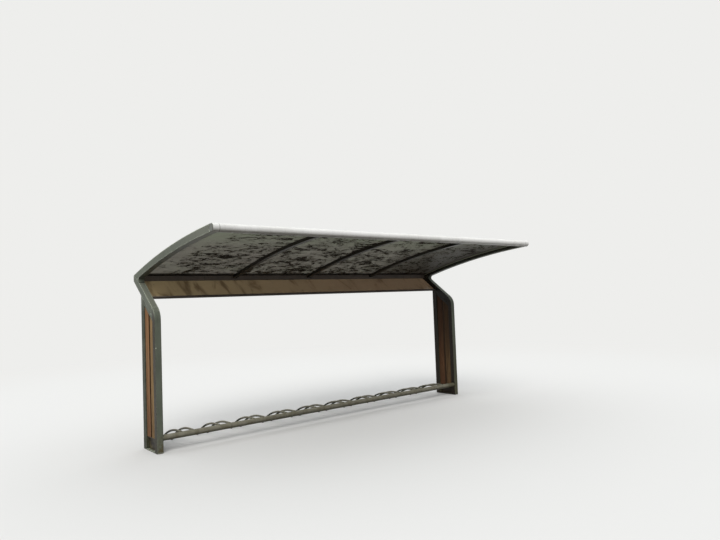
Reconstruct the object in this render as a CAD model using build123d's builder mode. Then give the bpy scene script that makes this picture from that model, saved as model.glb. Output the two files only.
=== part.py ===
from build123d import *
from math import acos, cos, degrees, radians, sin, sqrt, tan
import os

# Cantilever bike shelter: two bent end frames, an arched roof, a fascia and a floor rack.
# Millimetres. +Z is up, +X runs along the shelter, -Y is the open front.
# The origin is the centre of the left base plate's underside.

# Overall layout
frame_spacing = 4425.0
front_reach = 1340.0
tube_height = 2103.0
bay_count = 4

# End frame sections
member_w = 65.0
arm_d = 72.0
front_post_d = 60.0
rear_post_d = 70.0
wall = 4.0

# Timber boards in the end frames
board_w = 95.0
board_t = 42.0
board_gap = 35.0
board_edge_gap = 4.0
board_lap = 30.0

# Foot of the end frame
base_t = 10.0
kick_h = 126.0
kick_web_t = 10.0
kick_ledge_t = 8.0
anchor_r = 7.0
anchor_spacing_x = 36.0
anchor_spacing_y = 150.0

# Bend, lean and valley
lean_angle = 36.5
bend_r = 160.0
joint_past_bend = 10.0
valley_back = 575.0
heel_h = 63.0
gusset_t = 6.0
gusset_inset = 3.0
gusset_h = 50.0

# Roof arch
roof_r = 9450.0
front_tilt = 4.5
tube_r = 38.0
tube_wall = 4.0
cap_chamfer = 4.0
weld_gap = 0.3
panel_t = 8.0
panel_top_drop = 14.0
panel_joint = 6.0
panel_side_gap = 0.5
rafter_w = 50.0
rafter_d = 34.0
rafter_wall = 3.0
rafter_pitch = 1070.0

# Valley beam and fascia
beam_d = 58.0
beam_wall = 4.0
fascia_t = 6.0
fascia_back_gap = 2.0
fascia_rail_h = 15.0
fascia_rail_d = 25.0
fascia_rail_drop = 72.0

# Floor rack
rail_r = 30.0
rail_wall = 3.0
rail_z = 145.0
rod_r = 11.0
rod_rise = 5.0
rod_level = 170.0
rod_bend_r = 350.0
rod_foot_turn = 8.0
rod_spacing = 130.0
rack_count = 10
rack_start = 290.0
rack_end = 355.0

# Values worked out from the dimensions above
infill_d = 2 * board_w + board_gap + 2 * board_edge_gap
post_d = front_post_d + infill_d + rear_post_d
front_y = -post_d / 2
rear_y = post_d / 2
infill_y = front_y + front_post_d
rear_post_y = rear_y - rear_post_d
half_w = member_w / 2
inner_x = half_w
clear_span = frame_spacing - member_w
bay_joint = frame_spacing / 2 - rafter_pitch * bay_count / 2
rail_y = front_y + front_post_d / 2
rod_z = rail_z + rod_rise
rack_pitch = (frame_spacing - rack_start - rack_end) / (rack_count - 1)

lean_cos = cos(radians(lean_angle))
lean_sin = sin(radians(lean_angle))
upper_joint = bend_r * tan(radians(90 - lean_angle) / 2) + joint_past_bend
tube_y = front_y - front_reach + tube_r
arch_y = tube_y - roof_r * sin(radians(front_tilt))
arch_z = tube_height - roof_r * cos(radians(front_tilt))
under_r = roof_r - arm_d / 2
top_r = roof_r + arm_d / 2
panel_r = top_r - panel_top_drop - panel_t
valley_y = front_y + valley_back
valley_z = arch_z + sqrt(top_r**2 - (valley_y - arch_y) ** 2)
valley_top = (valley_y, valley_z)
beam_front_y = valley_y - beam_d
beam_bottom_z = valley_z - heel_h
lean_start_z = beam_bottom_z + (arm_d - valley_back * lean_sin) / lean_cos
board_foot_z = base_t + kick_h
fascia_low = (post_d - arm_d * lean_sin) / lean_cos - fascia_rail_drop


def lean_at(along, depth):
    """A point this far up the leaning arm and this deep behind its front face."""
    y = front_y + along * lean_cos + depth * lean_sin
    z = lean_start_z + along * lean_sin - depth * lean_cos
    return (y, z)


def lean_over(depth, y):
    """The point at y on the line this deep behind the leaning arm's front face."""
    return (y, lean_start_z + (y - front_y) * lean_sin / lean_cos - depth / lean_cos)


def lean_level(depth, z):
    """The point at height z on the same line."""
    return (front_y + ((z - lean_start_z) * lean_cos + depth) / lean_sin, z)


def arch_over(radius, y):
    """The point at y on the arc of this radius about the roof's centre."""
    return (y, arch_z + sqrt(radius**2 - (y - arch_y) ** 2))


def inner_valley():
    """Where the leaning arm's front face meets the underside of the roof arm."""
    run_y = front_y - arch_y
    run_z = lean_start_z - arch_z
    along = run_y * lean_cos + run_z * lean_sin
    reach = sqrt(along**2 - run_y**2 - run_z**2 + under_r**2) - along
    return lean_at(reach, 0)


def arch_edge(radius, y_from, y_to):
    """An arc of the roof between two ends, for the line builder that is open."""
    ThreePointArc(
        arch_over(radius, y_from),
        arch_over(radius, (y_from + y_to) / 2),
        arch_over(radius, y_to),
    )


def arch_outline(low_r, high_r, y_front, y_rear):
    """Outline of a curved strip of roof, for the line builder that is open."""
    arch_edge(low_r, y_front, y_rear)
    Line(arch_over(low_r, y_rear), arch_over(high_r, y_rear))
    arch_edge(high_r, y_rear, y_front)
    Line(arch_over(high_r, y_front), arch_over(low_r, y_front))


def save(part, name):
    part.label = name
    export_step(part, f"parts/{name}.step")


valley = inner_valley()
tube_centre = (tube_y, tube_height)
side_w = member_w - 2 * wall
along_x = (0, 90, 0)

os.makedirs("parts", exist_ok=True)


def build_base_plate(x):
    with BuildPart() as base_plate:
        with BuildSketch(Plane((x, 0, 0))):
            Rectangle(member_w, post_d)
            with GridLocations(anchor_spacing_x, anchor_spacing_y, 2, 2):
                Circle(anchor_r, mode=Mode.SUBTRACT)
        extrude(amount=base_t)
    return base_plate.part


def build_front_post(x):
    """A box section that rises from the base plate and bends back into the lean."""
    middle = front_post_d / 2
    with BuildPart() as front_post:
        with BuildLine(Plane.YZ.offset(x)):
            FilletPolyline(
                (rail_y, base_t),
                lean_over(middle, rail_y),
                lean_at(upper_joint, middle),
                radius=bend_r - middle,
            )
        with BuildSketch(Plane((x, rail_y, base_t))):
            Rectangle(member_w, front_post_d)
            Rectangle(side_w, front_post_d - 2 * wall, mode=Mode.SUBTRACT)
        sweep()
    return front_post.part


def build_rear_post(x):
    with BuildPart() as rear_post:
        with BuildSketch(Plane.YZ.offset(x - half_w)):
            with BuildLine():
                Polyline(
                    (rear_post_y, base_t),
                    (rear_y, base_t),
                    lean_over(arm_d, rear_y),
                    lean_over(arm_d, rear_post_y),
                    close=True,
                )
            make_face()
        extrude(amount=member_w)
        with BuildSketch(Plane((x, rear_y - rear_post_d / 2, base_t))):
            Rectangle(side_w, rear_post_d - 2 * wall)
        extrude(amount=lean_start_z * 2, mode=Mode.SUBTRACT)
    return rear_post.part


def build_kick_plate(x):
    """An upright web between the posts with a ledge on top that the boards stand on."""
    with BuildPart() as kick_plate:
        with BuildSketch(Plane((x, rear_post_y, base_t), x_dir=(1, 0, 0), z_dir=(0, -1, 0))):
            Rectangle(kick_web_t, kick_h, align=(Align.CENTER, Align.MIN))
            with Locations((0, kick_h)):
                Rectangle(board_t, kick_ledge_t, align=(Align.CENTER, Align.MAX))
        extrude(amount=infill_d)
    return kick_plate.part


def build_board(x, y_low):
    """A board from the kick plate's ledge up between the gusset plates."""
    y_high = y_low + board_w
    top_depth = arm_d + (gusset_h - board_lap) * lean_cos
    with BuildPart() as board:
        with BuildSketch(Plane.YZ.offset(x - board_t / 2)):
            with BuildLine():
                Polyline(
                    (y_low, board_foot_z),
                    (y_high, board_foot_z),
                    lean_over(top_depth, y_high),
                    lean_over(top_depth, y_low),
                    close=True,
                )
            make_face()
        extrude(amount=board_t)
    return board.part


def build_gusset(x):
    """Two plates that close the frame above the boards, one behind each side face."""
    low_depth = arm_d + gusset_h * lean_cos
    with BuildPart() as gusset:
        for plate_x in (x - half_w + gusset_inset, x + half_w - gusset_inset - gusset_t):
            with BuildSketch(Plane.YZ.offset(plate_x)):
                with BuildLine():
                    Polyline(
                        lean_over(low_depth, infill_y),
                        lean_over(low_depth, rear_post_y),
                        lean_over(arm_d, rear_post_y),
                        lean_over(arm_d, infill_y),
                        close=True,
                    )
                make_face()
            extrude(amount=gusset_t)
        with BuildSketch(Plane.YZ.offset(x - half_w)):
            with BuildLine():
                FilletPolyline(
                    (infill_y, base_t),
                    lean_over(front_post_d, infill_y),
                    lean_at(upper_joint, front_post_d),
                    radius=bend_r - front_post_d,
                )
                Polyline(
                    lean_at(upper_joint, front_post_d),
                    lean_at(upper_joint, 0),
                    (front_y, lean_start_z),
                    (front_y, base_t),
                    (infill_y, base_t),
                )
            make_face()
        extrude(amount=member_w, mode=Mode.SUBTRACT)
    return gusset.part


def build_lean_arm(x):
    """The leaning arm, mitred to the roof arm at the valley."""
    past_joint = lean_at(upper_joint, 0)[0] - arm_d
    with BuildPart() as lean_arm:
        with BuildSketch(Plane.YZ.offset(x - half_w)):
            with BuildLine():
                Polyline(
                    lean_at(upper_joint, 0),
                    lean_at(upper_joint, arm_d),
                    lean_over(arm_d, valley_y),
                    valley_top,
                    valley,
                    close=True,
                )
            make_face()
        extrude(amount=member_w)
        with BuildSketch(Plane.YZ.offset(x - half_w + wall)):
            with BuildLine():
                Polyline(
                    lean_over(wall, past_joint),
                    lean_over(arm_d - wall, past_joint),
                    lean_over(arm_d - wall, valley_y - wall),
                    lean_over(wall, valley_y - wall),
                    close=True,
                )
            make_face()
        extrude(amount=side_w, mode=Mode.SUBTRACT)
    return lean_arm.part


def build_roof_arm(x):
    """The arched box arm, mitred at the valley and coped to the front tube's cap."""
    with BuildPart() as roof_arm:
        with BuildSketch(Plane.YZ.offset(x - half_w)):
            with BuildLine():
                arch_edge(under_r, tube_y, valley[0])
                Line(valley, valley_top)
                arch_edge(top_r, valley_y, tube_y)
                Line(arch_over(top_r, tube_y), arch_over(under_r, tube_y))
            make_face()
        extrude(amount=member_w)
        with BuildSketch(Plane.YZ.offset(x - half_w + wall)):
            with BuildLine():
                arch_outline(under_r + wall, top_r - wall, tube_y, valley_y)
            make_face()
        extrude(amount=side_w, mode=Mode.SUBTRACT)
        with Locations((x, *tube_centre)):
            Cylinder(tube_r + weld_gap, member_w, rotation=along_x, mode=Mode.SUBTRACT)
    return roof_arm.part


def build_tube_cap(x, outward):
    """The tube's closed end piece at the tip of a roof arm."""
    with BuildPart() as cap:
        with BuildSketch(Plane.YZ.offset(x + outward * half_w)):
            with Locations(tube_centre):
                Circle(tube_r)
        extrude(amount=-outward * member_w)
        chamfer(cap.edges().sort_by(Axis.X)[-1 if outward > 0 else 0], cap_chamfer)
        with BuildSketch(Plane.YZ.offset(x + outward * (half_w - tube_wall))):
            with Locations(tube_centre):
                Circle(tube_r - tube_wall)
        extrude(amount=-outward * member_w, mode=Mode.SUBTRACT)
    return cap.part


def build_tube(centre, radius, thickness):
    """A round tube that spans between the end frames."""
    with BuildPart() as tube:
        with BuildSketch(Plane.YZ.offset(inner_x)):
            with Locations(centre):
                Circle(radius)
                Circle(radius - thickness, mode=Mode.SUBTRACT)
        extrude(amount=clear_span)
    return tube.part


def build_rafter(x):
    with BuildPart() as rafter:
        with BuildSketch(Plane.YZ.offset(x - rafter_w / 2)):
            with BuildLine():
                arch_outline(panel_r - rafter_d, panel_r, tube_y, beam_front_y)
            make_face()
        extrude(amount=rafter_w)
        with BuildSketch(Plane.YZ.offset(x - rafter_w / 2 + rafter_wall)):
            with BuildLine():
                low_r = panel_r - rafter_d + rafter_wall
                arch_outline(low_r, panel_r - rafter_wall, tube_y, valley_y)
            make_face()
        extrude(amount=rafter_w - 2 * rafter_wall, mode=Mode.SUBTRACT)
        with Locations((x, *tube_centre)):
            Cylinder(tube_r + weld_gap, rafter_w, rotation=along_x, mode=Mode.SUBTRACT)
    return rafter.part


def build_roof_panel(x_low, x_high):
    """One bay of the arched roof sheet, from the front tube to the back of the valley."""
    with BuildPart() as panel:
        with BuildSketch(Plane.YZ.offset(x_low)):
            with BuildLine():
                arch_outline(panel_r, panel_r + panel_t, tube_y, valley_y)
            make_face()
        extrude(amount=x_high - x_low)
        with Locations(((x_low + x_high) / 2, *tube_centre)):
            Cylinder(tube_r + weld_gap, x_high - x_low, rotation=along_x, mode=Mode.SUBTRACT)
    return panel.part


def build_valley_beam():
    """A box beam under the roof's rear edge, its top sloped to carry the sheet."""
    with BuildPart() as beam:
        with BuildSketch(Plane.YZ.offset(inner_x)):
            with BuildLine():
                Polyline(
                    (beam_front_y, beam_bottom_z),
                    (valley_y, beam_bottom_z),
                    arch_over(panel_r, valley_y),
                    arch_over(panel_r, beam_front_y),
                    close=True,
                )
            make_face()
            offset(amount=-beam_wall, mode=Mode.SUBTRACT)
        extrude(amount=clear_span)
    return beam.part


def build_fascia_panel():
    """The sheet that leans back under the valley, with its top level under the beam."""
    back_depth = arm_d - fascia_back_gap
    front_depth = back_depth - fascia_t
    low = fascia_low + fascia_rail_h
    with BuildPart() as fascia:
        with BuildSketch(Plane.YZ.offset(inner_x)):
            with BuildLine():
                Polyline(
                    lean_at(low, front_depth),
                    lean_at(low, back_depth),
                    lean_level(back_depth, beam_bottom_z),
                    lean_level(front_depth, beam_bottom_z),
                    close=True,
                )
            make_face()
        extrude(amount=clear_span)
    return fascia.part


def build_fascia_rail():
    """The slim rail along the fascia's lower edge."""
    with BuildPart() as rail:
        with BuildSketch(Plane.YZ.offset(inner_x)):
            with BuildLine():
                Polyline(
                    lean_at(fascia_low, arm_d - fascia_rail_d),
                    lean_at(fascia_low, arm_d),
                    lean_at(fascia_low + fascia_rail_h, arm_d),
                    lean_at(fascia_low + fascia_rail_h, arm_d - fascia_rail_d),
                    close=True,
                )
            make_face()
        extrude(amount=clear_span)
    return rail.part


def build_rack_hoop(x):
    """Two bent rods that hold a wheel: level behind the rail, then curving to the ground."""
    drop = degrees(acos(1 - rod_z / rod_bend_r))
    with BuildPart() as hoop:
        for rod_x in (x - rod_spacing / 2, x + rod_spacing / 2):
            with BuildLine(Plane.YZ.offset(rod_x)) as route:
                level = Line((rail_y, rod_z), (rail_y + rod_level, rod_z))
                JernArc(level @ 1, level % 1, rod_bend_r, -drop - rod_foot_turn)
            with BuildSketch(Plane((rod_x, rail_y, rod_z), x_dir=(1, 0, 0), z_dir=(0, 1, 0))):
                Circle(rod_r)
            sweep(path=route.line)
        split(bisect_by=Plane.XY, keep=Keep.TOP)
        with Locations((x, rail_y, rail_z)):
            Cylinder(rail_r + weld_gap, 2 * rod_spacing, rotation=along_x, mode=Mode.SUBTRACT)
    return hoop.part


for side, frame_x, outward in (("left", 0.0, -1), ("right", frame_spacing, 1)):
    save(build_base_plate(frame_x), f"{side}_base_plate")
    save(build_front_post(frame_x), f"{side}_front_post")
    save(build_rear_post(frame_x), f"{side}_rear_post")
    save(build_kick_plate(frame_x), f"{side}_kick_plate")
    save(build_board(frame_x, infill_y + board_edge_gap), f"{side}_front_board")
    save(build_board(frame_x, rear_post_y - board_edge_gap - board_w), f"{side}_rear_board")
    save(build_gusset(frame_x), f"{side}_gusset")
    save(build_lean_arm(frame_x), f"{side}_lean_arm")
    save(build_roof_arm(frame_x), f"{side}_roof_arm")
    save(build_tube_cap(frame_x, outward), f"{side}_tube_cap")

save(build_tube(tube_centre, tube_r, tube_wall), "front_tube")
save(build_valley_beam(), "valley_beam")
save(build_fascia_panel(), "fascia_panel")
save(build_fascia_rail(), "fascia_rail")
save(build_tube((rail_y, rail_z), rail_r, rail_wall), "rack_rail")

for number in range(1, bay_count):
    save(build_rafter(bay_joint + number * rafter_pitch), f"rafter_{number}")

for number in range(bay_count):
    x_low = bay_joint + number * rafter_pitch + panel_joint / 2
    x_high = x_low + rafter_pitch - panel_joint
    if number == 0:
        x_low = inner_x + panel_side_gap
    if number == bay_count - 1:
        x_high = inner_x + clear_span - panel_side_gap
    save(build_roof_panel(x_low, x_high), f"roof_panel_{number + 1}")

for number in range(rack_count):
    save(build_rack_hoop(rack_start + number * rack_pitch), f"rack_hoop_{number + 1}")
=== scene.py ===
import math
import random

import bmesh
import bpy
from mathutils import Matrix, Vector


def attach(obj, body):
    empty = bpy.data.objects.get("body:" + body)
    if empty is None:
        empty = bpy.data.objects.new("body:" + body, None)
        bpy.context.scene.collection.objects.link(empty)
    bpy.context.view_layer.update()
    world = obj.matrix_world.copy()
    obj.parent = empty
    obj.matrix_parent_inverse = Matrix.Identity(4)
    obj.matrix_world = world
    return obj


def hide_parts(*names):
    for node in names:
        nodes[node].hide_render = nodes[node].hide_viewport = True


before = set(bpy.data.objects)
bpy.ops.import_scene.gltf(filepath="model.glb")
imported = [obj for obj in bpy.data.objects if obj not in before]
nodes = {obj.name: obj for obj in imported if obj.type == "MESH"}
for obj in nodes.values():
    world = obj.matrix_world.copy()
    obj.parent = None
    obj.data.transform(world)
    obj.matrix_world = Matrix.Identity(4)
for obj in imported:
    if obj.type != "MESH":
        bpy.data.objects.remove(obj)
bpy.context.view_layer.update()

# The camera, solved from the edges of the frames, the roof, the rail and the rods.
camera_at = Vector((-2.237, -6.040, 1.467))
camera_yaw = math.radians(39.91)
camera_pitch = math.radians(2.72)
camera_roll = math.radians(-2.13)
image_w = 720
focal_px = 590.7
sensor_w = 36.0

# Sizes of the CAD part that the added pieces follow, in metres.
spacing = 4.425
half_w = 0.0325
arm_d = 0.072
post_d = 0.363
front_post_d = 0.060
rear_post_d = 0.070
board_w = 0.095
board_gap = 0.004
gusset_inset = 0.003
front_y = -post_d / 2
front_reach = 1.340
tube_r = 0.038
tube_y = front_y - front_reach + tube_r
tube_z = 2.103
roof_r = 9.45
front_tilt = math.radians(4.5)
lean = math.radians(36.5)
arch_y = tube_y - roof_r * math.sin(front_tilt)
arch_z = tube_z - roof_r * math.cos(front_tilt)
top_r = roof_r + arm_d / 2
under_r = roof_r - arm_d / 2
sheet_sink = 0.014
sheet_t = 0.008
sheet_top_r = top_r - sheet_sink
sheet_under_r = sheet_top_r - sheet_t
valley_back = 0.575
valley_y = front_y + valley_back
valley_z = arch_z + math.sqrt(top_r ** 2 - (valley_y - arch_y) ** 2)
beam_d = 0.058
beam_h = 0.063
beam_front_y = valley_y - beam_d
lean_start_z = valley_z - beam_h + (arm_d - valley_back * math.sin(lean)) / math.cos(lean)
fascia_drop = 0.072
fascia_inset = 0.002
fascia_t = 0.006
rafter_pitch = 1.070
rafter_x = [spacing / 2 + step * rafter_pitch for step in (-1, 0, 1)]
rail_y = front_y + 0.030
rail_z = 0.145
rail_r = 0.030
rod_r = 0.011
hoop_start = 0.290
hoop_pitch = 0.420
hoop_x = [hoop_start + hoop * hoop_pitch for hoop in range(10)]

rng = random.Random(7)


def srgb(red, green, blue):
    """A colour written as 0 to 255 display values, as linear light."""
    def linear(value):
        share = value / 255
        return share / 12.92 if share <= 0.04045 else ((share + 0.055) / 1.055) ** 2.4
    return (linear(red), linear(green), linear(blue), 1.0)


# Where the far end frame begins along X, for the painted shade and the darker lower part that only it has.
far_from = 4.2
far_full = 4.3


class Shade:
    """One material's node tree, with a short call for each kind of node."""

    def __init__(self, name):
        self.material = bpy.data.materials.new(name)
        self.material.use_nodes = True
        self.tree = self.material.node_tree
        self.tree.nodes.clear()
        self.place = self.node("ShaderNodeTexCoord").outputs["Object"]
        self.surface = self.node("ShaderNodeNewGeometry")

    def node(self, kind, **settings):
        made = self.tree.nodes.new(kind)
        for name, value in settings.items():
            setattr(made, name, value)
        return made

    def feed(self, socket, value):
        if isinstance(value, bpy.types.NodeSocket):
            self.tree.links.new(value, socket)
        else:
            socket.default_value = value

    def stretched(self, grain, shift):
        """The place on the object, scaled and moved along each axis."""
        mapping = self.node("ShaderNodeMapping")
        self.feed(mapping.inputs["Vector"], self.place)
        mapping.inputs["Scale"].default_value = grain
        mapping.inputs["Location"].default_value = shift
        return mapping.outputs["Vector"]

    def noise(self, scale, detail, rough=0.55, grain=(1, 1, 1), shift=(0, 0, 0), twist=0.0):
        made = self.node("ShaderNodeTexNoise")
        self.feed(made.inputs["Vector"], self.stretched(grain, shift))
        made.inputs["Scale"].default_value = scale
        made.inputs["Detail"].default_value = detail
        made.inputs["Roughness"].default_value = rough
        made.inputs["Distortion"].default_value = twist
        return made.outputs["Fac"]

    def span(self, value, low, high, bottom=0.0, top=1.0):
        """The value read as a smooth step from low to high."""
        made = self.node("ShaderNodeMapRange", interpolation_type="SMOOTHSTEP")
        self.feed(made.inputs["Value"], value)
        made.inputs["From Min"].default_value = low
        made.inputs["From Max"].default_value = high
        made.inputs["To Min"].default_value = bottom
        made.inputs["To Max"].default_value = top
        return made.outputs["Result"]

    def maths(self, operation, first, second=0.0):
        made = self.node("ShaderNodeMath", operation=operation)
        self.feed(made.inputs[0], first)
        self.feed(made.inputs[1], second)
        return made.outputs[0]

    def plus(self, first, second):
        return self.maths("ADD", first, second)

    def minus(self, first, second):
        return self.maths("SUBTRACT", first, second)

    def rest(self, share):
        """What a share leaves of one."""
        return self.minus(1.0, share)

    def unsigned(self, value):
        return self.maths("ABSOLUTE", value)

    def times(self, *values):
        result = values[0]
        for value in values[1:]:
            result = self.maths("MULTIPLY", result, value)
        return result

    def mix(self, share, first, second):
        """Two colours mixed, with this share of the second."""
        made = self.node("ShaderNodeMix", data_type="RGBA")
        self.feed(made.inputs["Factor"], share)
        self.feed(made.inputs[6], first)
        self.feed(made.inputs[7], second)
        return made.outputs[2]

    def axis(self, vector, name):
        made = self.node("ShaderNodeSeparateXYZ")
        self.feed(made.inputs[0], vector)
        return made.outputs[name]

    def along(self, name):
        """The place along one axis."""
        return self.axis(self.place, name)

    def facing(self, name):
        """How far the surface faces along one axis."""
        return self.axis(self.surface.outputs["Normal"], name)

    def facing_up(self, low=0.3, high=0.9):
        return self.span(self.facing("Z"), low, high)

    def height_share(self, low, high):
        return self.span(self.along("Z"), low, high)

    def edges(self, radius):
        """The normal rounded off at sharp edges, and a mask of those edges."""
        bevel = self.node("ShaderNodeBevel", samples=6)
        bevel.inputs["Radius"].default_value = radius
        dot = self.node("ShaderNodeVectorMath", operation="DOT_PRODUCT")
        self.feed(dot.inputs[0], bevel.outputs["Normal"])
        self.feed(dot.inputs[1], self.surface.outputs["Normal"])
        return bevel.outputs["Normal"], self.span(dot.outputs["Value"], 0.985, 0.80)

    def far_frame(self):
        """A mask of the far end frame."""
        return self.span(self.along("X"), far_from, far_full)

    def far_inner_shade(self, share):
        """A mask of the far end frame's inner side, where shade is painted on."""
        return self.times(self.far_frame(), self.span(self.facing("X"), -0.35, -0.75), share)

    def bump(self, height, strength, depth, normal=None):
        made = self.node("ShaderNodeBump")
        self.feed(made.inputs["Height"], height)
        made.inputs["Strength"].default_value = strength
        made.inputs["Distance"].default_value = depth
        if normal is not None:
            self.feed(made.inputs["Normal"], normal)
        return made.outputs["Normal"]

    def principled(self, colour, roughness, normal=None, **settings):
        shader = self.node("ShaderNodeBsdfPrincipled")
        self.feed(shader.inputs["Base Color"], colour)
        self.feed(shader.inputs["Roughness"], roughness)
        if normal is not None:
            self.feed(shader.inputs["Normal"], normal)
        for name, value in settings.items():
            shader.inputs[name.replace("_", " ")].default_value = value
        return shader.outputs[0]

    def translucent(self, colour):
        shader = self.node("ShaderNodeBsdfTranslucent")
        self.feed(shader.inputs["Color"], colour)
        return shader.outputs[0]

    def blend(self, share, first, second):
        """Two shaders mixed, with this share of the second."""
        made = self.node("ShaderNodeMixShader")
        for socket, value in zip(made.inputs, (share, first, second)):
            self.feed(socket, value)
        return made.outputs[0]

    def done(self, shader):
        """The material, with this shader as its surface."""
        output = self.node("ShaderNodeOutputMaterial")
        self.feed(output.inputs["Surface"], shader)
        return self.material


mud_brown = srgb(90, 83, 62)
far_low_brown = srgb(74, 71, 50)
# Painted shade, tinted green, low on the rear posts.
rear_shade_green = srgb(40, 45, 29)
# Painted shade on the sides of the front posts.
side_shade = srgb(42, 36, 24)
seam_brown = srgb(70, 62, 54)
# Painted shade on the far end frame's inner side, and its usual share.
far_shade_dark = srgb(36, 28, 22)
far_shade_share = 0.88
seam_reach = 0.0028
seam_core = 0.0012


def painted_steel(name, dark, light, dirt, dust, wear, rim, gloss=0.42, shine=0.15, streaks=0.6, under_dark=0.0,
                  beneath=(0.25, -0.75), far_under_less=0.0, front_pale=0.0, sides=0.0, far_shade_aloft=far_shade_share, seams=(),
                  ends=None, corner=0.008):
    """Weathered paint: cloudy colour, rain streaks, dust on top, mud at the foot and worn edges.

    How much grimy darkens the undersides, with far_under_less taken off that at the far end, and beneath is
    where they begin. How far bleach pales the colour towards the roof's front, and sides is how much shade is
    painted on the sides of the front posts, beside the boards. The share of painted shade high up on the far
    frame's inner side is aloft. Upward edges get painted highlights in the colour rim. The joints lie at the X
    values in seams, and the faces that look along X have the colour in ends. Edges are rounded off by corner.
    """
    s = Shade(name)
    normal, edge = s.edges(corner)
    cloud = s.noise(3.1, 5.0)
    colour = s.mix(s.span(cloud, 0.32, 0.68), dark, light)
    speck = s.noise(170.0, 3.0, 0.7)
    colour = s.mix(s.span(speck, 0.60, 0.74, 0.0, 0.35), colour, dirt)
    streak = s.noise(1.0, 6.0, 0.6, grain=(42, 42, 2.3))
    colour = s.mix(s.times(s.span(streak, 0.52, 0.78), streaks), colour, dirt)
    # Darker undersides, less so towards the far end by far_under_less.
    if under_dark:
        under = s.times(s.facing_up(*beneath), s.span(s.noise(11.0, 5.0), 0.25, 0.65, 0.75, 1.0), under_dark)
        under = s.times(under, s.span(s.along("X"), 2.4, 4.0, 1.0, 1.0 - far_under_less))
        colour = s.mix(under, colour, dirt)
    # Paler towards the roof's front.
    if front_pale:
        colour = s.mix(s.span(s.along("Y"), -0.5, -1.45, 0.0, front_pale), colour, wear)
    settled = s.times(s.facing_up(), s.span(s.noise(26.0, 5.0), 0.30, 0.70, 0.35, 0.95))
    colour = s.mix(settled, colour, dust)
    mud = s.times(s.height_share(0.30, 0.0), s.span(s.noise(19.0, 5.0), 0.38, 0.66))
    colour = s.mix(mud, colour, mud_brown)
    worn = s.times(edge, s.span(s.noise(34.0, 4.0), 0.40, 0.62))
    colour = s.mix(s.times(worn, 0.6), colour, wear)
    # Painted highlight along the upward edges, in the colour rim, stronger high up.
    highlight_rise = s.span(s.along("Z"), 1.80, 2.05, 0.50, 0.95)
    edge_highlight = s.times(edge, s.span(s.axis(normal, "Z"), 0.18, 0.45), highlight_rise)
    colour = s.mix(edge_highlight, colour, rim)
    # Painted shade on the sides of the front posts below the bend, standing in for the dark gap beside the
    # boards.
    if sides:
        aside = s.span(s.unsigned(s.facing("X")), 0.40, 0.75)
        beside = s.times(aside, s.span(s.along("Y"), -0.10, -0.12), s.height_share(1.48, 1.30))
        patchy = s.span(s.noise(13.0, 5.0), 0.25, 0.65, sides * 0.85, sides)
        colour = s.mix(s.times(beside, patchy), colour, side_shade)
    # Painted shade, tinted green, on the rear posts and the rods' rear ends, low down.
    rear_shade = s.times(s.span(s.along("Y"), 0.09, 0.13), s.height_share(1.60, 1.35))
    rear_shade = s.times(rear_shade, s.span(s.noise(8.0, 5.0), 0.25, 0.70, 0.70, 1.0))
    colour = s.mix(rear_shade, colour, rear_shade_green)
    # The far end frame darker and browner towards the bottom.
    far_low = s.times(s.far_frame(), s.height_share(1.3, 0.3), 0.75)
    colour = s.mix(far_low, colour, far_low_brown)
    # Painted shade on the far frame's inner side, with less of it high up on the arms.
    dark_share = s.span(s.along("Z"), 1.60, 1.95, far_shade_share, far_shade_aloft)
    colour = s.mix(s.far_inner_shade(dark_share), colour, far_shade_dark)
    for seam_x in seams:
        apart = s.unsigned(s.minus(s.along("X"), seam_x))
        colour = s.mix(s.span(apart, seam_reach, seam_core, 0.0, 0.75), colour, seam_brown)
    if ends is not None:
        colour = s.mix(s.span(s.unsigned(s.facing("X")), 0.55, 0.68), colour, ends)
    roughness = s.plus(s.span(cloud, 0.2, 0.8, gloss - 0.07, gloss + 0.10), s.times(settled, 0.25))
    orange_peel = s.bump(s.noise(420.0, 2.0), 0.10, 0.0006, normal)
    relief = s.bump(speck, 0.12, 0.0008, orange_peel)
    return s.done(s.principled(colour, roughness, relief, Specular_IOR_Level=shine))


board_bloom = srgb(140, 112, 84)
board_split = srgb(44, 26, 18)
board_damp = srgb(72, 48, 36)
board_edge = srgb(172, 136, 100)
# Painted shade on the boards' side faces.
board_side_shade = srgb(52, 38, 24)
# Painted shade on the far frame's boards.
board_far_shade = srgb(50, 29, 22)


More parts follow.
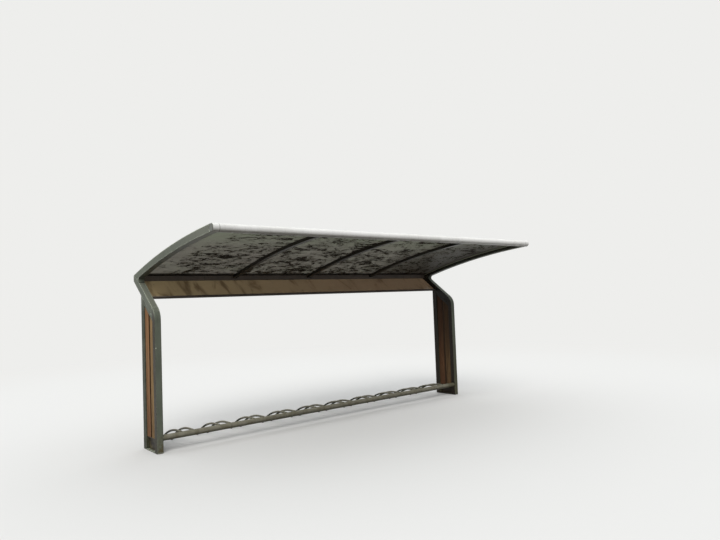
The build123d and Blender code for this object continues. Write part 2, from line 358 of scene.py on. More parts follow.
def stained_board(name, pale, deep, shift):
    """Stained softwood seen along its length, with grain, checks and a grey bloom, and painted shade on its side
    faces and on the far frame's inner side.
    """
    s = Shade(name)
    normal, edge = s.edges(0.004)
    rings = s.noise(1.0, 7.0, 0.62, grain=(70, 70, 2.1), shift=shift, twist=0.6)
    fibre = s.noise(1.0, 5.0, 0.7, grain=(420, 420, 9.0), shift=shift)
    colour = s.mix(s.span(rings, 0.34, 0.66), deep, pale)
    colour = s.mix(s.span(fibre, 0.35, 0.75, 0.0, 0.45), colour, deep)
    broad = s.noise(2.2, 3.0, shift=shift)
    colour = s.mix(s.span(broad, 0.42, 0.72, 0.0, 0.5), colour, board_bloom)
    check = s.noise(1.0, 6.0, 0.7, grain=(190, 190, 3.2), shift=shift)
    split = s.span(check, 0.70, 0.76)
    colour = s.mix(s.times(split, 0.8), colour, board_split)
    dark_share = s.times(s.height_share(0.55, 0.14), s.span(s.noise(9.0, 4.0), 0.3, 0.7, 0.3, 0.9))
    colour = s.mix(s.times(dark_share, 0.55), colour, board_damp)
    colour = s.mix(s.times(edge, 0.35), colour, board_edge)
    # Painted shade on the boards' side faces, in the gaps beside them.
    colour = s.mix(s.span(s.unsigned(s.facing("Y")), 0.4, 0.8, 0.0, 0.9), colour, board_side_shade)
    # Painted shade on the far frame's boards, deeper further up.
    board_shade_rise = s.span(s.along("Z"), 0.1, 1.1, 0.62, 1.0)
    colour = s.mix(s.times(s.far_inner_shade(0.75), board_shade_rise), colour, board_far_shade)
    grain = s.bump(fibre, 0.28, 0.0012, normal)
    depth = s.bump(s.rest(split), 0.5, 0.002, grain)
    return s.done(s.principled(colour, s.span(rings, 0.2, 0.8, 0.58, 0.80), depth, Specular_IOR_Level=0.15))


sheet_plum = srgb(135, 131, 126)
sheet_green = srgb(130, 132, 121)
sheet_front = srgb(133, 150, 123)
sheet_dust = srgb(112, 106, 102)
# Painted shade over the far end of the roof.
sheet_far_shade = srgb(84, 80, 74)
sheet_litter = srgb(64, 59, 53)
sheet_rim = srgb(162, 158, 150)
sheet_beam_dark = srgb(46, 42, 38)
top_leaf_dark = srgb(88, 72, 54)
top_leaf_pale = srgb(120, 102, 78)
top_dust_dark = srgb(118, 116, 108)
top_dust_pale = srgb(140, 137, 126)
glow_clear = srgb(248, 246, 240)
glow_litter = srgb(92, 82, 68)
sheet_glow = 0.54


def roof_sheet():
    """Grey translucent sheet with leaf litter lying on it, which shows from both sides, and painted shade over
    the far end.
    """
    s = Shade("roof_sheet_grey")
    warp = s.noise(1.7, 4.0, 0.55, grain=(1.0, 1.3, 1.0), twist=1.2)
    clump = s.noise(8.5, 9.0, 0.74, grain=(0.62, 1.0, 1.0), twist=1.1)
    leaf = s.noise(34.0, 5.0, 0.62, grain=(0.70, 1.0, 1.0), twist=0.9)
    heap = s.plus(clump, s.times(s.minus(warp, 0.5), 0.30))
    heap = s.plus(heap, s.times(s.minus(leaf, 0.5), 0.55))
    near_end = s.maths("MINIMUM", s.along("X"), s.times(s.minus(spacing, s.along("X")), 2.2))
    heap = s.minus(heap, s.span(near_end, 0.42, 0.10, 0.0, 0.17))
    heap = s.minus(heap, s.span(s.along("Y"), -1.05, -1.50, 0.0, 0.05))
    tide = s.plus(s.along("Y"), s.times(s.noise(7.0, 4.0, grain=(1, 0.2, 0.2)), 0.07))
    in_valley = s.span(tide, valley_y - 0.045, valley_y - 0.020)
    litter = s.maths("MAXIMUM", s.span(heap, 0.505, 0.575), in_valley)
    film = s.mix(s.span(warp, 0.3, 0.7), sheet_plum, sheet_green)
    film = s.mix(s.times(s.span(s.along("Y"), -0.45, -1.35), 0.7), film, sheet_front)
    film = s.mix(s.span(s.noise(5.0, 5.0, 0.6), 0.40, 0.68, 0.0, 0.5), film, sheet_dust)
    # Painted shade over the far end of the roof: a darker sheet that lets less light through.
    far_end_shade = s.times(s.span(s.along("X"), 2.8, 4.3), s.span(s.along("Y"), -1.5, -0.4, 0.8, 1.0))
    film = s.mix(s.times(far_end_shade, 0.8), film, sheet_far_shade)
    far_shade = s.times(s.span(s.along("X"), 3.2, 3.8), s.span(s.along("Y"), -1.5, -0.8, 0.25, 1.0))
    far_shade = s.times(far_shade, s.span(s.along("Y"), 0.20, -0.15, 0.3, 1.0))
    rim = s.times(s.span(heap, 0.47, 0.52), s.rest(litter))
    under = s.mix(s.times(rim, 0.38), s.mix(litter, film, sheet_litter), sheet_rim)
    # A dark band on the sheet along the beam, where the sheet also lets less light through.
    beam_edge_dark = s.span(tide, beam_front_y - 0.050, beam_front_y - 0.022, 0.0, 0.85)
    under = s.mix(beam_edge_dark, under, sheet_beam_dark)
    leaves = s.mix(s.span(leaf, 0.40, 0.60), top_leaf_dark, top_leaf_pale)
    dusty = s.mix(s.span(s.noise(60.0, 5.0), 0.35, 0.7), top_dust_dark, top_dust_pale)
    colour = s.mix(s.facing_up(0.2, 0.5), under, s.mix(litter, dusty, leaves))
    roughness = s.span(litter, 0.0, 1.0, 0.42, 0.82)
    skin = s.principled(colour, roughness, s.bump(heap, 0.25, 0.003), Specular_IOR_Level=0.03)
    glow = s.translucent(s.mix(litter, s.mix(0.45, film, glow_clear), glow_litter))
    clear = s.times(s.rest(s.times(litter, 0.75)), s.rest(s.times(far_shade, 0.2)), s.rest(beam_edge_dark))
    return s.done(s.blend(s.times(clear, s.rest(s.times(far_end_shade, 0.5)), sheet_glow), skin, glow))


fascia_near = srgb(160, 142, 108)
fascia_far = srgb(134, 114, 90)
fascia_streak = srgb(92, 74, 56)
fascia_film = srgb(180, 164, 132)
lit_near = srgb(216, 204, 180)
lit_far = srgb(206, 190, 172)
lit_streak = srgb(150, 134, 116)
fascia_glow = 0.55


def fascia_sheet():
    """Glossy bronze-brown sheet with faint darker streaks."""
    s = Shade("fascia_sheet_bronze")
    further = s.span(s.along("X"), 0.0, 3.4)
    # Faint darker streaks on the sheet.
    marks = s.noise(1.0, 5.0, 0.6, grain=(7, 1.8, 1.8), twist=0.8)
    dark_streaks = s.span(marks, 0.50, 0.68, 0.0, 0.65)
    colour = s.mix(dark_streaks, s.mix(further, fascia_near, fascia_far), fascia_streak)
    film = s.noise(9.0, 5.0)
    colour = s.mix(s.span(film, 0.50, 0.80, 0.0, 0.35), colour, fascia_film)
    roughness = s.span(film, 0.3, 0.8, 0.09, 0.24)
    ripple = s.bump(s.noise(3.0, 2.0), 0.05, 0.004)
    skin = s.principled(colour, roughness, ripple, Coat_Weight=0.35, Coat_Roughness=0.06)
    glow = s.translucent(s.mix(dark_streaks, s.mix(further, lit_near, lit_far), lit_streak))
    return s.done(s.blend(fascia_glow, skin, glow))


def dull_metal():
    """Weathered bare aluminium with faint rubbing marks."""
    s = Shade("bare_metal_weathered")
    cloud = s.noise(23.0, 4.0)
    colour = s.mix(s.span(cloud, 0.3, 0.7), srgb(128, 130, 122), srgb(154, 156, 148))
    grime = s.span(s.noise(90.0, 5.0, 0.65), 0.55, 0.75, 0.0, 0.7)
    colour = s.mix(grime, colour, srgb(96, 92, 80))
    roughness = s.span(cloud, 0.2, 0.8, 0.34, 0.52)
    return s.done(s.principled(colour, roughness, s.bump(cloud, 0.1, 0.0006), Metallic=0.55))


def dry_leaf(name, pale, dark):
    """A dead leaf, mottled and veined."""
    s = Shade(name)
    cloud = s.noise(38.0, 3.0)
    vein = s.noise(260.0, 2.0)
    colour = s.mix(s.span(cloud, 0.35, 0.65), dark, pale)
    colour = s.mix(s.span(vein, 0.55, 0.75, 0.0, 0.5), colour, dark)
    return s.done(s.principled(colour, s.span(cloud, 0.2, 0.8, 0.62, 0.82), s.bump(vein, 0.3, 0.001)))


# In each paint, the colour rim is the painted highlight along upward edges.
frame_paint = painted_steel(
    "frame_paint_grey", dark=srgb(99, 105, 93), light=srgb(115, 121, 108), dirt=srgb(74, 72, 62),
    dust=srgb(116, 117, 106), wear=srgb(150, 150, 138), rim=srgb(232, 242, 218),
    under_dark=0.75, front_pale=0.4, sides=0.95, far_shade_aloft=0.35, corner=0.014,
)
dark_paint = painted_steel(
    "dark_paint_brown", dark=srgb(60, 57, 51), light=srgb(72, 68, 61), dirt=srgb(44, 41, 36),
    dust=srgb(96, 90, 81), wear=srgb(90, 82, 73), rim=srgb(96, 90, 81), gloss=0.38, under_dark=0.5,
)
beam_paint = painted_steel(
    "beam_paint_brown", dark=srgb(114, 107, 102), light=srgb(130, 122, 116), dirt=srgb(84, 74, 68),
    dust=srgb(112, 104, 94), wear=srgb(104, 95, 86), rim=srgb(112, 104, 94), gloss=0.38, under_dark=0.5,
)
# Dark paint, made darker still as painted shade for the recess at the posts' feet.
kick_paint_shaded = painted_steel(
    "kick_paint_dark_shaded", dark=srgb(30, 26, 20), light=srgb(38, 33, 26), dirt=srgb(24, 21, 17),
    dust=srgb(70, 64, 55), wear=srgb(66, 58, 50), rim=srgb(70, 64, 55), gloss=0.40, under_dark=0.5,
)
tube_paint = painted_steel(
    "tube_paint_pale", dark=srgb(224, 223, 220), light=srgb(236, 235, 233), dirt=srgb(128, 121, 106),
    dust=srgb(232, 232, 227), wear=srgb(206, 200, 188), rim=srgb(232, 232, 227),
    gloss=0.26, shine=0.5, streaks=0.22, under_dark=0.85, beneath=(-0.20, -0.85), far_under_less=0.75,
    seams=(half_w, spacing - half_w), ends=srgb(108, 111, 102),
)
rack_paint = painted_steel(
    "rack_paint_worn", dark=srgb(114, 111, 98), light=srgb(130, 127, 113), dirt=srgb(76, 74, 58),
    dust=srgb(130, 127, 111), wear=srgb(92, 72, 54), rim=srgb(134, 130, 114), under_dark=0.7,
)
lip_paint = painted_steel(
    "lip_paint_pale", dark=srgb(206, 214, 192), light=srgb(218, 226, 206), dirt=srgb(128, 121, 106),
    dust=srgb(212, 214, 200), wear=srgb(196, 200, 184), rim=srgb(224, 230, 214),
    streaks=0.2, far_shade_aloft=0.15, corner=0.002,
)
front_board_stain = stained_board("board_stain_tan", srgb(184, 154, 110), srgb(112, 86, 56), (0, 0, 0))
rear_board_stain = stained_board("board_stain_red", srgb(182, 138, 98), srgb(112, 74, 48), (5, 3, 1))
sheet_grey = roof_sheet()
sheet_bronze = fascia_sheet()
bare_metal = dull_metal()
leaf_brown = dry_leaf("leaf_brown", srgb(138, 110, 76), srgb(98, 74, 50))
leaf_dark = dry_leaf("leaf_dark", srgb(88, 74, 48), srgb(54, 44, 32))


def dress(name):
    """The finish of a carried-over node, by its name."""
    if name.endswith("front_board"):
        return front_board_stain
    if name.endswith("rear_board"):
        return rear_board_stain
    if name.startswith("roof_panel"):
        return sheet_grey
    if name == "fascia_panel":
        return sheet_bronze
    if name in ("front_tube", "left_tube_cap", "right_tube_cap"):
        return tube_paint
    if name.startswith("rack_"):
        return rack_paint
    if name.endswith("kick_plate"):
        return kick_paint_shaded
    if name in ("valley_beam", "fascia_rail"):
        return beam_paint
    if name.startswith("rafter"):
        return dark_paint
    return frame_paint


for name, item in nodes.items():
    item.data.materials.clear()
    item.data.materials.append(dress(name))


def sheet_point(x, y, radius):
    """A point on the roof's arc of this radius."""
    return Vector((x, y, arch_z + math.sqrt(radius ** 2 - (y - arch_y) ** 2)))


def sheet_normal(y):
    """The direction straight out of the roof's top at y."""
    return Vector((0, y - arch_y, math.sqrt(top_r ** 2 - (y - arch_y) ** 2))).normalized()


def lean_point(x, along, depth):
    """A point this far up the leaning arm and this deep behind its front face."""
    return Vector((
        x,
        front_y + along * math.cos(lean) + depth * math.sin(lean),
        lean_start_z + along * math.sin(lean) - depth * math.cos(lean),
    ))


smooth_up_to = math.radians(35)


def finish_piece(name, shape, material):
    """Turns a bmesh into a piece that rides on the frame."""
    bmesh.ops.recalc_face_normals(shape, faces=shape.faces)
    mesh = bpy.data.meshes.new(name)
    shape.to_mesh(mesh)
    shape.free()
    for polygon in mesh.polygons:
        polygon.use_smooth = True
    mesh.set_sharp_from_angle(angle=smooth_up_to)
    mesh.materials.append(material)
    piece = bpy.data.objects.new(name, mesh)
    bpy.context.scene.collection.objects.link(piece)
    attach(piece, "root")
    return piece


def circle(steps):
    """The cosine and sine at even steps around a circle."""
    turns = [2 * math.pi * step / steps for step in range(steps)]
    return [(math.cos(turn), math.sin(turn)) for turn in turns]


def loft(shape, rings, looped=False):
    """Faces between rings of points. The ends are closed, or joined to each other in a loop."""
    rows = [[shape.verts.new(point) for point in ring] for ring in rings]
    count = len(rows[0])
    pairs = list(zip(rows, rows[1:]))
    if looped:
        pairs.append((rows[-1], rows[0]))
    for first, second in pairs:
        for step in range(count):
            after = (step + 1) % count
            shape.faces.new((first[step], first[after], second[after], second[step]))
    if not looped:
        shape.faces.new(rows[0])
        shape.faces.new(rows[-1][::-1])


roof_steps = 36


def arc_bar(shape, profile, y_front, y_rear):
    """A bar that follows the roof: the profile is (x, radius) pairs."""
    rings = []
    for step in range(roof_steps + 1):
        y = y_front + (y_rear - y_front) * step / roof_steps
        rings.append([sheet_point(x, y, radius) for x, radius in profile])
    loft(shape, rings)


def turned(shape, place, axis, rows, sides):
    """A turned solid: rows are (height along the axis, radius) pairs."""
    aim = axis.normalized().to_track_quat("Z", "Y").to_matrix()
    rings = []
    for height, radius in rows:
        flat = [Vector((radius * cosine, radius * sine, height)) for cosine, sine in circle(sides)]
        rings.append([place + aim @ point for point in flat])
    loft(shape, rings)


def screw(shape, place, axis, size):
    """A hexagon-headed sheet screw on its washer."""
    washer = [(-0.0008, 0.0085), (0.0008, 0.0090), (0.0016, 0.0086), (0.0022, 0.0068)]
    turned(shape, place, axis, [(height * size, radius * size) for height, radius in washer], sides=18)
    head = [(0.0020, 0.0050), (0.0058, 0.0050), (0.0068, 0.0041)]
    turned(shape, place, axis, [(height * size, radius * size) for height, radius in head], sides=6)


def dome_bolt(shape, place, axis, radius):
    """A low domed bolt head."""
    rows = [(-0.0005, radius)]
    rows += [(radius * height, radius * wide) for height, wide in ((0.16, 0.96), (0.36, 0.70), (0.44, 0.34))]
    turned(shape, place, axis, rows, sides=16)


def bead(shape, points, radius, sides, closed=False):
    """A slightly uneven weld bead along a line of points."""
    count = len(points)
    rings = []
    for index, point in enumerate(points):
        before = points[index - 1] if index or closed else points[0]
        after = points[(index + 1) % count] if index < count - 1 or closed else points[-1]
        aim = (after - before).normalized().to_track_quat("Z", "Y").to_matrix()
        thick = radius * (0.86 + 0.28 * rng.random())
        rings.append([point + aim @ Vector((thick * cosine, thick * sine, 0)) for cosine, sine in circle(sides)])
    loft(shape, rings, closed)


def inner_valley_point(x):
    """Where the leaning arm's front face meets the roof arm's underside."""
    run = Vector((0, front_y - arch_y, lean_start_z - arch_z))
    along = run.y * math.cos(lean) + run.z * math.sin(lean)
    reach = math.sqrt(along ** 2 - run.length_squared + under_r ** 2) - along
    return lean_point(x, reach, 0)


# Trim and a pale lip along the sheet's outer edges, where the last bays meet the end arms.
contact = 0.0002
trim_h = 0.027
trim_t = 0.005
trim_corner_h = 0.0015
trim_corner_w = 0.0012
trim_top_r = sheet_under_r - contact
trim_low_r = sheet_under_r - trim_h
trim_edge_r = trim_low_r + trim_corner_h
trim_front_y = tube_y + tube_r + 0.002
trim_rear_y = beam_front_y - 0.0005
trim_profile = [
    (contact, trim_top_r), (contact, trim_edge_r), (contact + trim_corner_w, trim_low_r),
    (trim_t - trim_corner_w, trim_low_r), (trim_t, trim_edge_r), (trim_t, trim_top_r),
]
lip_h = 0.012
lip_corner = 0.001
lip_out = trim_t + contact
lip_in = lip_out + 0.004
lip_low_r = trim_top_r - lip_h
lip_profile = [
    (lip_out, trim_top_r), (lip_out, lip_low_r), (lip_in - lip_corner, lip_low_r),
    (lip_in, lip_low_r + lip_corner), (lip_in, trim_top_r),
]
for side, face, inward in (("left", half_w, 1), ("right", spacing - half_w, -1)):
    for part, profile, finish, slot_name in (
        ("trim", trim_profile, dark_paint, "dark_steel"), ("lip", lip_profile, lip_paint, "tube_steel"),
    ):
        bar = bmesh.new()
        arc_bar(bar, [(face + inward * depth, radius) for depth, radius in profile], trim_front_y, trim_rear_y)
        finish_piece(f"{side}_edge_{part}", bar, finish)

# Corner fillets inside the valleys, where the leaning arms turn into the roof arms.
fillet_r = 0.032
fillet_steps = 12
fillet_reach = 0.08
fillet_half_w = half_w - 0.0003
for side, x in (("left", 0.0), ("right", spacing)):
    corner = inner_valley_point(x)
    down = (lean_point(x, 0, 0) - lean_point(x, 1, 0)).normalized()
    forward = (sheet_point(x, corner.y - fillet_reach, under_r) - corner).normalized()
    half_angle = down.angle(forward) / 2
    centre = corner + (down + forward).normalized() * fillet_r / math.sin(half_angle)
    start = corner + down * fillet_r / math.tan(half_angle) - centre
    end = corner + forward * fillet_r / math.tan(half_angle) - centre
    sweep = start.angle(end)
    turn = start.cross(end).normalized()
    outline = [corner]
    for step in range(fillet_steps + 1):
        outline.append(centre + Matrix.Rotation(sweep * step / fillet_steps, 3, turn) @ start)
    fillet = bmesh.new()
    faces = [Vector((aside, 0, 0)) for aside in (-fillet_half_w, fillet_half_w)]
    loft(fillet, [[point + aside for point in outline] for aside in faces])
    finish_piece(f"{side}_valley_fillet", fillet, frame_paint)

# Cover strips over the sheet joints, held with screws, and a row of screws above the beam.
cover_half = 0.022
cover_t = 0.0022
cover_edge_t = 0.0012
cover_base_r = sheet_top_r + 0.0003
cover_front_y = tube_y + tube_r + 0.012
cover_rear_y = valley_y - 0.006
cover_profile = [
    (-cover_half, 0), (-cover_half, cover_edge_t), (-cover_half + cover_edge_t, cover_t),
    (cover_half - cover_edge_t, cover_t), (cover_half, cover_edge_t), (cover_half, 0),
]
cover_screws = 7
cover_screw_inset = 0.05
cover_screw_x = 0.014
cover_screw_size = 0.72
beam_screws = 17
beam_screw_inset = 0.12
beam_screw_y = valley_y - 0.029
beam_screw_size = 0.85
rafter_clear = 0.04
top_screws = bmesh.new()
for number, x in enumerate(rafter_x, 1):
    cover = bmesh.new()
    profile = [(x + aside, cover_base_r + height) for aside, height in cover_profile]
    arc_bar(cover, profile, cover_front_y, cover_rear_y)
    finish_piece(f"cover_strip_{number}", cover, bare_metal)
    screw_run = cover_rear_y - cover_front_y - 2 * cover_screw_inset
    for step in range(cover_screws):
        y = cover_front_y + cover_screw_inset + step * screw_run / (cover_screws - 1)
        for side in (-1, 1):
            place = sheet_point(x + side * cover_screw_x, y, cover_base_r + cover_t)
            screw(top_screws, place, sheet_normal(y), cover_screw_size)
for step in range(beam_screws):
    x = beam_screw_inset + step * (spacing - 2 * beam_screw_inset) / (beam_screws - 1)
    if min(abs(x - rafter) for rafter in rafter_x) > rafter_clear:
        place = sheet_point(x, beam_screw_y, sheet_top_r)
        screw(top_screws, place, sheet_normal(beam_screw_y), beam_screw_size)
finish_piece("roof_screws", top_screws, bare_metal)

# Rivets that hold the fascia sheet to its lower rail and to the beam.
rivet_columns = 12
rivet_inset = 0.16
rivet_rows = (0.029, 0.255)
rivet_r = 0.0048
fascia_low = (post_d - arm_d * math.sin(lean)) / math.cos(lean) - fascia_drop
fascia_front = arm_d - fascia_inset - fascia_t
out_of_fascia = (lean_point(0, 0, -1) - lean_point(0, 0, 0)).normalized()
rivets = bmesh.new()
for step in range(rivet_columns):
    x = rivet_inset + step * (spacing - 2 * rivet_inset) / (rivet_columns - 1)
    for up in rivet_rows:
        dome_bolt(rivets, lean_point(x, fascia_low + up, fascia_front), out_of_fascia, rivet_r)
finish_piece("fascia_rivets", rivets, bare_metal)

# The rack's rods: each lies in the rail's top, runs level and then bends down to the ground, slanted a little.
rod_z = 0.174
rod_half_gap = 0.0615
rod_front = -0.010
rod_level = 0.078
rod_bend_r = 0.58
rod_slant = math.radians(3.0)
rod_heading = Vector((-math.sin(rod_slant), math.cos(rod_slant), 0))
rod_drop = math.acos(1 - rod_z / rod_bend_r)
rod_sides = 14
rod_steps = 24


def rod_ring(x, along, height, tilt):
    """A ring of the rod's section where the rod has run this far and leans down by tilt."""
    middle = Vector((x, rail_y, height)) + rod_heading * along
    ahead = rod_heading * math.cos(tilt) - Vector((0, 0, math.sin(tilt)))
    across = rod_heading.cross(Vector((0, 0, 1)))
    over = across.cross(ahead)
    ring = [middle + across * rod_r * cosine + over * rod_r * sine for cosine, sine in circle(rod_sides)]
    return ring, ahead


for number, x in enumerate(hoop_x, 1):
    hoop = bmesh.new()
    for side in (-1, 1):
        start = x + side * rod_half_gap
        rings = [rod_ring(start, along, rod_z, 0)[0] for along in (rod_front, rod_level / 2)]
        for step in range(rod_steps + 1):
            tilt = rod_drop * step / rod_steps
            height = rod_z - rod_bend_r * (1 - math.cos(tilt))
            ring, ahead = rod_ring(start, rod_level + rod_bend_r * math.sin(tilt), height, tilt)
            rings.append(ring)
        rings[-1] = [point - ahead * (point.z / ahead.z) for point in ring]
        loft(hoop, rings)
    piece = finish_piece(f"wheel_hoop_{number}", hoop, rack_paint)
    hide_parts(f"rack_hoop_{number}")

# Weld beads over the rods at the rail, round the rail's ends and up the mitres inside the valleys.
rod_weld_r = 0.0019
rod_weld_lift = 0.0008
rod_weld_steps = 14
rod_weld_from = math.pi + math.asin((rod_z - rail_z - rail_r) / rod_r)
rod_weld_turn = 3 * math.pi - 2 * rod_weld_from
rod_welds = bmesh.new()
for x in hoop_x:
    for side in (-1, 1):
        line = []
        for step in range(rod_weld_steps + 1):
            angle = rod_weld_from + rod_weld_turn * step / rod_weld_steps
            z = rod_z + rod_r * math.sin(angle)
            y = rail_y + math.sqrt(max(rail_r ** 2 - (z - rail_z) ** 2, 0))
            line.append(Vector((x + side * rod_half_gap + (rod_r + rod_weld_lift) * math.cos(angle), y, z)))
        bead(rod_welds, line, rod_weld_r, sides=6)
finish_piece("rod_welds", rod_welds, rack_paint)

rail_weld_r = 0.0022
rail_weld_ring_r = rail_r + 0.0012
rail_weld_steps = 26
mitre_weld_r = 0.0014
mitre_weld_steps = 12
mitre_weld_from = 0.04
mitre_weld_to = 0.30
frame_weld_gap = 0.0006
frame_welds = bmesh.new()
for face, inward in ((half_w, 1), (spacing - half_w, -1)):
    x = face + inward * frame_weld_gap
    ring = []
    for cosine, sine in circle(rail_weld_steps):
        ring.append(Vector((x, rail_y + rail_weld_ring_r * cosine, rail_z + rail_weld_ring_r * sine)))
    bead(frame_welds, ring, rail_weld_r, sides=7, closed=True)
    low, high = inner_valley_point(x), Vector((x, valley_y, valley_z))
    first, last = low.lerp(high, mitre_weld_from), low.lerp(high, mitre_weld_to)
    line = [first.lerp(last, step / mitre_weld_steps) for step in range(mitre_weld_steps + 1)]
    bead(frame_welds, line, mitre_weld_r, sides=8)
finish_piece("frame_welds", frame_welds, frame_paint)

# Painted screws through the end frames into the boards, and the pale one on the left front post.
board_screw_r = 0.0052
board_screw_x = 0.026
board_screw_below = 0.034
post_screw_r = 0.0060
post_screw_place = Vector((-half_w + 0.008, front_y, 1.043))
board_middles = (
    front_y + front_post_d + board_gap + board_w / 2,
    post_d / 2 - rear_post_d - board_gap - board_w / 2,
)
fixings = bmesh.new()
for frame_x in (0.0, spacing):
    for side in (-1, 1):
        plate_x = frame_x + side * (half_w - gusset_inset)
        for y in board_middles:
            top = lean_start_z + (y - front_y) * math.tan(lean) - (arm_d + board_screw_below) / math.cos(lean)
            for shift in (-board_screw_x, board_screw_x):
                place = Vector((plate_x, y + shift, top + shift * math.tan(lean)))
                dome_bolt(fixings, place, Vector((side, 0, 0)), board_screw_r)
finish_piece("frame_fixings", fixings, frame_paint)
post_screw = bmesh.new()
dome_bolt(post_screw, post_screw_place, Vector((0, -1, 0)), post_screw_r)
finish_piece("left_post_screw", post_screw, lip_paint)


def leaf(shape, place, normal, heading, length, width, curl):
    """A thin curled leaf that lies on the sheet."""
    ahead = (heading - normal * heading.dot(normal)).normalized()
    across = normal.cross(ahead)
    rows = []
    for share, wide in ((0.0, 0.05), (0.22, 0.72), (0.50, 1.0), (0.78, 0.66), (1.0, 0.04)):
        along = (share - 0.5) * length
        lift = curl * (2 * share - 1) ** 2
        row = []
        for side in (-1, 0, 1):
            edge = curl * 0.7 * abs(side) * wide
            point = place + ahead * along + across * side * wide * width / 2 + normal * (lift + edge)
            row.append(shape.verts.new(point))
        rows.append(row)
    for first, second in zip(rows, rows[1:]):
        for step in range(2):
            shape.faces.new((first[step], first[step + 1], second[step + 1], second[step]))


# Fallen leaves: thick in the valley, thinner up the sheet, and fewer on the cover strips.
leaves_tried = 520
leaf_scatter = 0.42
leaf_shortest = 0.022
leaf_longest = 0.052
leaf_narrowest = 0.36
leaf_widest = 0.61
leaf_curl = 0.0035
leaf_lift = 0.0008
leaf_end_gap = 0.03
leaf_side_gap = 0.05
strip_reach = 0.05
strip_sheds = 0.6
for material, name in ((leaf_brown, "leaves_brown"), (leaf_dark, "leaves_dark")):
    leaves = bmesh.new()
    for _ in range(leaves_tried):
        chance = rng.random()
        back = max(0.0, min(1.0, 1 - abs(rng.gauss(0, leaf_scatter))))
        y = cover_front_y + leaf_end_gap + back * (valley_y - cover_front_y - 2 * leaf_end_gap)
        x = half_w + leaf_side_gap + rng.random() * (spacing - 2 * half_w - 2 * leaf_side_gap)
        if min(abs(x - rafter) for rafter in rafter_x) < strip_reach and chance < strip_sheds:
            continue
        angle = rng.random() * 2 * math.pi
        length = leaf_shortest + (leaf_longest - leaf_shortest) * rng.random()
        width = length * (leaf_narrowest + (leaf_widest - leaf_narrowest) * rng.random())
        curl = leaf_curl * rng.random()
        heading = Vector((math.cos(angle), math.sin(angle), 0))
        leaf(leaves, sheet_point(x, y, sheet_top_r + leaf_lift), sheet_normal(y), heading, length, width, curl)
    finish_piece(name, leaves, material)

backdrop_colour = srgb(238, 238, 236)
floor_colour = srgb(219, 218, 216)
floor_bounce = srgb(98, 96, 91)
floor_half = 40.0
floor_middle = (2.2, 0, -0.002)
fade_from = 5.0
fade_to = 11.0


def plain_floor():
    """A large pale floor that fades into the backdrop and isn't seen from below."""
    mesh = bpy.data.meshes.new("floor")
    corners = [(x * floor_half, y * floor_half, 0) for x, y in ((-1, -1), (1, -1), (1, 1), (-1, 1))]
    mesh.from_pydata(corners, [], [(0, 1, 2, 3)])
    floor = bpy.data.objects.new("floor", mesh)
    floor.location = floor_middle
    bpy.context.scene.collection.objects.link(floor)
    s = Shade("floor_plain")
    path = s.node("ShaderNodeLightPath")
    seen = s.maths("MAXIMUM", path.outputs["Is Camera Ray"], path.outputs["Is Glossy Ray"])
    seen = s.maths("MAXIMUM", seen, path.outputs["Is Transmission Ray"])
    near = s.principled(s.mix(seen, floor_bounce, floor_colour), 0.95, Specular_IOR_Level=0.0)
    glow = s.node("ShaderNodeEmission")
    s.feed(glow.inputs["Color"], s.mix(seen, floor_bounce, backdrop_colour))
    reach = s.node("ShaderNodeVectorMath", operation="LENGTH")
    s.feed(reach.inputs[0], s.place)
    above = s.blend(s.span(reach.outputs["Value"], fade_from, fade_to), near, glow.outputs[0])
    below = s.node("ShaderNodeBsdfTransparent").outputs[0]
    mesh.materials.append(s.done(s.blend(s.surface.outputs["Backfacing"], above, below)))


plain_floor()

sky_colour = (0.95, 0.98, 1.0, 1.0)
sky_low = 0.10
sky_top = 1.22
sky_rise_from = 0.14
sky_rise_to = 0.80


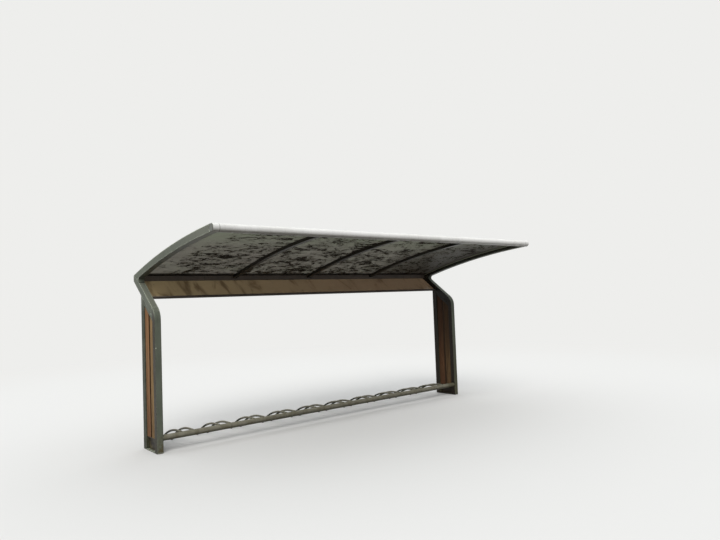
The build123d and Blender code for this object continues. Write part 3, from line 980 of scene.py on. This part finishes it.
def light_world():
    """Soft light from above that falls off towards the horizon, with a pale backdrop."""
    world = bpy.data.worlds.new("studio")
    world.use_nodes = True
    tree = world.node_tree
    tree.nodes.clear()
    link = tree.links.new
    backdrop = tree.nodes.new("ShaderNodeBackground")
    backdrop.inputs["Color"].default_value = backdrop_colour
    place = tree.nodes.new("ShaderNodeTexCoord")
    parts = tree.nodes.new("ShaderNodeSeparateXYZ")
    link(place.outputs["Generated"], parts.inputs[0])
    rise = tree.nodes.new("ShaderNodeMapRange")
    rise.interpolation_type = "SMOOTHSTEP"
    link(parts.outputs["Z"], rise.inputs["Value"])
    rise.inputs["From Min"].default_value = sky_rise_from
    rise.inputs["From Max"].default_value = sky_rise_to
    rise.inputs["To Min"].default_value = sky_low
    rise.inputs["To Max"].default_value = sky_top
    sky = tree.nodes.new("ShaderNodeBackground")
    sky.inputs["Color"].default_value = sky_colour
    link(rise.outputs["Result"], sky.inputs["Strength"])
    path = tree.nodes.new("ShaderNodeLightPath")
    seen = path.outputs["Is Camera Ray"]
    for ray in ("Is Glossy Ray", "Is Transmission Ray"):
        either = tree.nodes.new("ShaderNodeMath")
        either.operation = "MAXIMUM"
        link(seen, either.inputs[0])
        link(path.outputs[ray], either.inputs[1])
        seen = either.outputs[0]
    choose = tree.nodes.new("ShaderNodeMixShader")
    link(seen, choose.inputs[0])
    link(sky.outputs[0], choose.inputs[1])
    link(backdrop.outputs[0], choose.inputs[2])
    output = tree.nodes.new("ShaderNodeOutputWorld")
    link(choose.outputs[0], output.inputs["Surface"])
    bpy.context.scene.world = world


light_world()

key_from = Vector((-0.52, -0.58, 0.63))
key_strength = 1.7
key_spread = math.radians(36.0)
key_colour = (1.0, 0.98, 0.95)


def key_light():
    """A broad lamp far away, so that the light is even over the whole floor."""
    data = bpy.data.lights.new("key", "SUN")
    data.energy = key_strength
    data.angle = key_spread
    data.color = key_colour
    lamp = bpy.data.objects.new("key", data)
    lamp.rotation_mode = "QUATERNION"
    lamp.rotation_quaternion = (-key_from).to_track_quat("-Z", "Y")
    bpy.context.scene.collection.objects.link(lamp)


key_light()


def place_camera():
    """The camera at the photo's angle."""
    forward = Vector((
        math.sin(camera_yaw) * math.cos(camera_pitch),
        math.cos(camera_yaw) * math.cos(camera_pitch),
        math.sin(camera_pitch),
    ))
    right = Vector((math.cos(camera_yaw), -math.sin(camera_yaw), 0))
    up = right.cross(forward)
    turned_right = right * math.cos(camera_roll) + up * math.sin(camera_roll)
    turned_up = up * math.cos(camera_roll) - right * math.sin(camera_roll)
    data = bpy.data.cameras.new("camera")
    data.sensor_width = sensor_w
    data.lens = focal_px * sensor_w / image_w
    camera = bpy.data.objects.new("camera", data)
    axes = Matrix((turned_right, turned_up, -forward)).transposed()
    camera.matrix_world = Matrix.Translation(camera_at) @ axes.to_4x4()
    bpy.context.scene.collection.objects.link(camera)
    bpy.context.scene.camera = camera


place_camera()
bpy.context.scene.view_settings.view_transform = "Standard"
